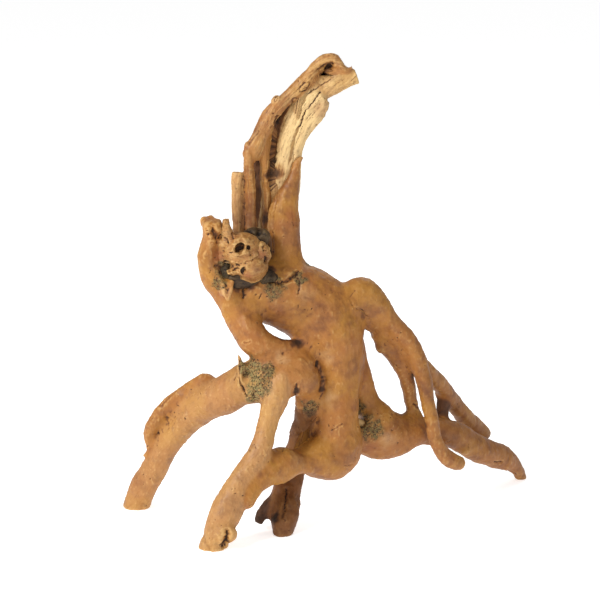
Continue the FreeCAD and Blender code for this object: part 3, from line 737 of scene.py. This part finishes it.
def carve(name, voxel, looks):
    """Grows, carves and paints one bunch of roots and cuts it into its pieces."""
    nodes = list(looks)
    obj = grown(name, voxel, nodes)
    skin = Skin(obj.data)
    gaps = distances(skin.points, nodes, OWNER_REACH)
    near = skin.blurred(blends(gaps, nodes), 6)
    skin.soften(3)
    skin.soften(14, smooth_step(0.15, 0.6, near))
    owner = owners(skin, gaps)
    grain = np.zeros((skin.count, 3))
    for column in range(len(nodes)):
        mine = owner == column
        number = np.cumsum(mine) - 1
        inner = mine[skin.edges].all(1)
        grain[mine] = grain_coordinates(skin.points[mine], number[skin.edges[inner]]) + 61.0 * column
    fields = stains(skin)
    height, grit, marks, pale, dark, umber_shade = relief(skin, nodes, looks, owner, near, grain, fields["moss"])
    # The per-root darkness is painted shade, kept mostly to the faces turned to the front.
    dark = dark * (0.3 + 0.7 * smooth_step(0.4, -0.2, skin.normals[:, 1]))
    stroke, shade = stroke_heights(skin, nodes)
    skin.normals = skin.blurred(skin.normals, 4)
    skin.push(height + stroke)
    skin.points[:, 2] = np.maximum(skin.points[:, 2], 0)
    skin.refresh()
    fine = skin.hollows(int(5 / voxel))
    broad = skin.hollows(int(36 / voxel))
    skin.paint("grain", grain * MM)
    # hollow drives the dirt and painted shade in hollows and the lighter high spots (rubbed wear and
    # painted highlight) in the material
    skin.paint("hollow", np.clip(0.5 + fine * 1.4 + broad * 0.2, 0, 1))
    skin.paint("seam", near)
    skin.paint("moss", np.clip(np.maximum(fields["moss"], 0.5 * grit), 0, 1))
    # dark: painted shade from the dark patches, each root's darkness and the gouges, with the real pits and
    # slits
    skin.paint("dark", np.clip(np.maximum.reduce([fields["dark"], dark, marks, shade]), 0, 1))
    # pale: paler wood and painted highlight, from the pale patches, each root's paleness and the pale
    # ridges
    pale_and_highlight = np.maximum.reduce([0.35 * fields["pale"], pale, -shade])
    skin.paint("pale", np.clip(pale_and_highlight - fields["dark"], 0, 1))
    skin.paint("red", fields["red"])
    # umber: painted shade, from the umber patches and each root's umber
    skin.paint("umber_shade", np.maximum(fields["umber_shade"], umber_shade))
    return split(obj, nodes, owner)


# ---------------------------------------------------------------------------------------------
# Materials
# ---------------------------------------------------------------------------------------------


def add_group(name, inputs, outputs):
    """An empty node group with its sockets."""
    group = bpy.data.node_groups.new(name, "ShaderNodeTree")
    for socket, kind, value in inputs:
        made = group.interface.new_socket(socket, in_out="INPUT", socket_type="NodeSocket" + kind)
        if value is not None:
            made.default_value = value
    for socket, kind in outputs:
        group.interface.new_socket(socket, in_out="OUTPUT", socket_type="NodeSocket" + kind)
    return group


class Tree:
    """Shorthand for placing and linking shader nodes."""

    def __init__(self, tree):
        self.tree = tree
        self.column = 0

    def node(self, kind, **settings):
        made = self.tree.nodes.new("ShaderNode" + kind)
        made.location = (self.column * 180, 0)
        self.column += 1
        for key, value in settings.items():
            setattr(made, key, value)
        return made

    def feed(self, made, **values):
        """Sets or links inputs by name, with _ for a space, or by number as i0, i1 and so on."""
        for key, value in values.items():
            by_number = key[0] == "i" and key[1:].isdigit()
            socket = made.inputs[int(key[1:]) if by_number else key.replace("_", " ")]
            if isinstance(value, bpy.types.NodeSocket):
                self.tree.links.new(value, socket)
            else:
                socket.default_value = value
        return made

    def read(self, name):
        """A painted field."""
        return self.node("Attribute", attribute_name=name).outputs["Fac"]

    def noise(self, vector, scale, detail=3.0, rough=0.5):
        made = self.node("TexNoise")
        self.feed(made, Vector=vector, Scale=scale, Detail=detail, Roughness=rough)
        return made.outputs["Fac"]

    def stretch(self, vector, scale):
        made = self.node("VectorMath", operation="MULTIPLY")
        self.feed(made, i0=vector, i1=scale)
        return made.outputs[0]

    def ramp(self, value, low, high, to_low=0.0, to_high=1.0):
        """A smooth step from one value to another."""
        made = self.node("MapRange", interpolation_type="SMOOTHSTEP")
        self.feed(made, Value=value, From_Min=low, From_Max=high, To_Min=to_low, To_Max=to_high)
        return made.outputs["Result"]

    def math(self, operation, a, b=0.0):
        made = self.node("Math", operation=operation)
        self.feed(made, i0=a, i1=b)
        return made.outputs[0]

    def times(self, *values):
        """The product of several values."""
        total = values[0]
        for value in values[1:]:
            total = self.math("MULTIPLY", total, value)
        return total

    def mix(self, share, a, b):
        made = self.node("Mix", data_type="RGBA")
        self.feed(made, i0=share, i6=a, i7=b)
        return made.outputs[2]


def make_wood_group():
    """Colour, roughness and height of weathered, waxed root wood from its painted fields, with painted
    shade in hollows and dark patches and painted highlight on high spots and pale patches.
    """
    group = add_group("weathered wood", [
        ("Heart", "Color", None), ("Body", "Color", None), ("Sap", "Color", None), ("Gold", "Color", None),
        ("Red", "Color", None), ("Dirt", "Color", None), ("Moss", "Color", None), ("Bleach", "Color", None),
    ], [("Colour", "Color"), ("Roughness", "Float"), ("Height", "Float")])
    t = Tree(group)
    given = t.tree.nodes.new("NodeGroupInput").outputs
    out = t.tree.nodes.new("NodeGroupOutput")
    place = t.node("TexCoord").outputs["Object"]
    grain = t.node("Attribute", attribute_name="grain").outputs["Vector"]
    hollow, seam, moss, dark, pale, red, umber_shade = (
        t.read(name) for name in ("hollow", "seam", "moss", "dark", "pale", "red", "umber_shade"))

    off_seam = t.ramp(seam, 0.7, 0.15)
    streaks = t.noise(t.stretch(grain, (260, 260, 22)), 1.0, 4.0, 0.6)
    fibres = t.noise(t.stretch(grain, (1200, 1200, 80)), 1.0, 3.0, 0.6)
    clouds = t.noise(place, 24, 4.0, 0.55)
    washes = t.noise(place, 48, 5.0, 0.62)
    blots = t.noise(place, 110, 4.0, 0.6)
    specks = t.noise(place, 650, 3.0, 0.7)

    # Mottled wood, with pale streaks and dark flecks along the grain.
    body = t.mix(t.ramp(washes, 0.3, 0.5, 0.45, 1.0), given["Heart"], given["Body"])
    body = t.mix(t.times(t.ramp(clouds, 0.42, 0.68), 0.6), body, given["Gold"])
    body = t.mix(t.times(t.ramp(streaks, 0.42, 0.7), off_seam, 0.55), body, given["Sap"])
    body = t.mix(t.times(t.ramp(blots, 0.55, 0.8), 0.15), body, given["Sap"])
    body = t.mix(t.times(t.ramp(blots, 0.48, 0.28), 0.45), body, given["Heart"])
    flecks = t.noise(t.stretch(grain, (620, 620, 120)), 1.0, 4.0, 0.65)
    body = t.mix(t.times(t.ramp(flecks, 0.52, 0.36), off_seam, 0.5), body, given["Heart"])
    body = t.mix(t.times(t.ramp(flecks, 0.4, 0.28), off_seam, 0.65), body, given["Dirt"])
    # Lighter high spots, as rubbed wear and painted highlight, then the painted patches.
    body = t.mix(t.times(t.ramp(hollow, 0.4, 0.02), 0.4), body, given["Sap"])
    # The pale field: paler wood and painted highlight.
    pale_and_highlight = t.times(
        t.ramp(pale, 0.0, 0.9), t.ramp(washes, 0.25, 0.5, 0.6, 1.0), t.ramp(flecks, 0.3, 0.5, 0.5, 1.0),
    )
    body = t.mix(t.times(pale_and_highlight, 0.95), body, given["Bleach"])
    # umber: painted shade, mixed towards the heart tone
    body = t.mix(t.times(umber_shade, t.ramp(blots, 0.3, 0.6, 0.85, 0.5)), body, given["Heart"])
    rust = t.times(t.math("ADD", red, t.times(t.ramp(t.noise(place, 38, 3.0), 0.58, 0.72), 0.5)), 0.45)
    body = t.mix(rust, body, given["Red"])
    # Moss with dirt in it, then dirt and painted shade in hollows, cracks and dark patches.
    grimy = t.times(t.ramp(moss, 0.1, 0.65), t.ramp(t.noise(place, 210, 4.0, 0.75), 0.4, 0.56, 0.25, 1.0))
    body = t.mix(t.times(grimy, 0.8), body, given["Moss"])
    peppered = t.times(t.ramp(moss, 0.15, 0.6), t.ramp(specks, 0.5, 0.6))
    body = t.mix(t.times(peppered, 0.88), body, given["Dirt"])
    stray = t.times(t.ramp(specks, 0.66, 0.74), t.ramp(washes, 0.5, 0.62), 0.5)
    body = t.mix(stray, body, given["Dirt"])
    # Crevices and the dark field: dirt and painted shade.
    crevice = t.times(t.ramp(hollow, 0.58, 1.05), 0.9)
    marks_and_shade = t.times(t.ramp(dark, 0.05, 0.95), t.ramp(blots, 0.2, 0.6, 1.0, 0.75))
    depth = t.math("MAXIMUM", crevice, marks_and_shade)
    body = t.mix(t.ramp(depth, 0.0, 0.55, 0.0, 0.75), body, given["Heart"])
    body = t.mix(t.ramp(depth, 0.25, 1.0, 0.0, 0.93), body, given["Dirt"])
    t.feed(out, Colour=body)

    rough = t.ramp(washes, 0.3, 0.7, 0.5, 0.62)
    t.feed(out, Roughness=t.math("ADD", rough, t.times(t.math("MAXIMUM", grimy, depth), 0.3)))
    height = t.math("ADD", t.times(fibres, off_seam, 0.25), t.times(blots, 0.55))
    height = t.math("ADD", height, t.times(specks, t.ramp(moss, 0.0, 0.6, 0.12, 0.7)))
    t.feed(out, Height=height)
    return group


TONES = {  # finish: heart, body, sap, gold, red, dirt and painted shade, moss, pale wood and painted highlight, sheen of the wax
    "root_wood": ("6b3d1c", "9e652b", "d8ae6c", "aa7826", "84431f", "1c120b", "5e5836", "dab583", 0.12),
    "pale_wood": ("70431e", "a5733a", "d6b070", "a87c30", "8c4a28", "1c120b", "5e5836", "e6cb94", 0.12),
    "dark_wood": ("583216", "835226", "b5864e", "8a5c22", "703616", "17100c", "504c34", "c09c70", 0.08),
    "joint_filler": ("6b4120", "a06c30", "d5ae6e", "a67a30", "8a4a24", "1c140c", "7a744a", "dab583", 0.05),
    "dark_filler": ("2a1c10", "4e3820", "8a7046", "5c4226", "4a2a16", "0e0a08", "463f26", "9a8560", 0.04),
    "dowel_wood": ("9a6c38", "b98a50", "d9b884", "c0975a", "a0703c", "3a2616", "8a7a50", "e0c494", 0.1),
}


def colour(code):
    """A colour from its sRGB hex code."""
    parts = [int(code[i:i + 2], 16) / 255 for i in (0, 2, 4)]
    linear = [((part + 0.055) / 1.055) ** 2.4 if part > 0.04 else part / 12.92 for part in parts]
    return (*linear, 1)


def make_finish(name, wood):
    """One waxed or gritty finish."""
    material = bpy.data.materials.new(name)
    material.use_nodes = True
    material.node_tree.nodes.clear()
    t = Tree(material.node_tree)
    heart, body, sap, gold, red, dirt_and_shade, moss, pale_highlight_tone, wax = TONES[name]
    look = t.node("Group", node_tree=wood)
    t.feed(look, Heart=colour(heart), Body=colour(body), Sap=colour(sap), Gold=colour(gold),
           Red=colour(red), Dirt=colour(dirt_and_shade), Moss=colour(moss), Bleach=colour(pale_highlight_tone))
    bump = t.node("Bump")
    t.feed(bump, Height=look.outputs["Height"], Strength=0.8, Distance=0.001)
    shader = t.node("BsdfPrincipled")
    t.feed(shader, Base_Color=look.outputs["Colour"], Roughness=look.outputs["Roughness"],
           Normal=bump.outputs["Normal"])
    shader.inputs["Specular IOR Level"].default_value = 0.3
    shader.inputs["Coat Weight"].default_value = wax
    shader.inputs["Coat Roughness"].default_value = 0.45
    out = t.node("OutputMaterial")
    t.feed(out, Surface=shader.outputs["BSDF"])
    return material


# ---------------------------------------------------------------------------------------------
# Stage
# ---------------------------------------------------------------------------------------------

FLOOR_REACH = 12
LAMPS = (  # name, place and size in metres, power in watts
    ("key", (-1.6, -1.3, 1.6), 0.7, 50),
    ("fill", (0.4, -2.2, 1.2), 1.4, 9),
    ("back", (0.7, 1.5, 1.6), 1.2, 10),
)
CAMERA_LENS = 120
CAMERA_DISTANCE = 2.0
CAMERA_TILT = 13  # degrees down


def make_stage():
    """White floor, soft light and the camera."""
    low, high = CAD_BOX
    bm = bmesh.new()
    bmesh.ops.create_grid(bm, x_segments=1, y_segments=1, size=FLOOR_REACH)
    mesh = bpy.data.meshes.new("floor")
    bm.to_mesh(mesh)
    bm.free()
    floor = add_object("floor", mesh)
    paint = bpy.data.materials.new("floor")
    paint.use_nodes = True
    shader = paint.node_tree.nodes["Principled BSDF"]
    shader.inputs["Base Color"].default_value = (0.9, 0.9, 0.9, 1)
    shader.inputs["Roughness"].default_value = 0.95
    shader.inputs["Emission Color"].default_value = (1, 1, 1, 1)
    shader.inputs["Emission Strength"].default_value = 0.6
    mesh.materials.append(paint)

    bpy.context.scene.view_settings.view_transform = "Standard"
    world = bpy.data.worlds.new("studio")
    bpy.context.scene.world = world
    world.use_nodes = True
    world.node_tree.nodes["Background"].inputs["Color"].default_value = (1, 1, 1, 1)
    world.node_tree.nodes["Background"].inputs["Strength"].default_value = 0.42
    middle = Vector((0, 0, high[2] / 2))
    for name, place, size, power in LAMPS:
        lamp = bpy.data.lights.new(name, "AREA")
        lamp.size = size
        lamp.energy = power
        obj = bpy.data.objects.new(name, lamp)
        obj.location = place
        obj.rotation_euler = (middle - Vector(place)).to_track_quat("-Z", "Y").to_euler()
        bpy.context.scene.collection.objects.link(obj)

    camera = bpy.data.cameras.new("camera")
    camera.lens = CAMERA_LENS
    camera.sensor_width = 36
    obj = bpy.data.objects.new("camera", camera)
    tilt = math.radians(CAMERA_TILT)
    target = Vector((low[0] + 0.1828, 0.0029, high[2] - 0.2466))
    away = Vector((0, -math.cos(tilt), math.sin(tilt)))
    obj.location = target + away * CAMERA_DISTANCE
    obj.rotation_euler = (-away).to_track_quat("-Z", "Y").to_euler()
    bpy.context.scene.collection.objects.link(obj)
    bpy.context.scene.camera = obj


# ---------------------------------------------------------------------------------------------
# Build
# ---------------------------------------------------------------------------------------------


def tree_of(node):
    """A search tree of a CAD node's skin."""
    bm = bmesh.new()
    cad_copy(bm, node)
    tree = BVHTree.FromBMesh(bm)
    bm.free()
    return tree


make_stage()
wood = make_wood_group()
finishes = {name: make_finish(name, wood) for name in TONES}
TREES = {node: tree_of(node) for _, looks in BUNCHES.values() for node in looks}
for bunch, (voxel, looks) in BUNCHES.items():
    for node, piece in carve(bunch, voxel, looks).items():
        finish = looks[node][0]
        marker = piece.data.materials[piece.data.polygons[0].material_index]
        piece.data.materials.clear()
        piece.data.materials.append(finishes[finish])
        bpy.data.materials.remove(marker)
        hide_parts(node)
        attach(piece, "root")
for node in ("thick_dowels", "thin_dowels"):
    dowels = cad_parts[node]
    for slot in dowels.material_slots:
        slot.material = finishes["dowel_wood"]
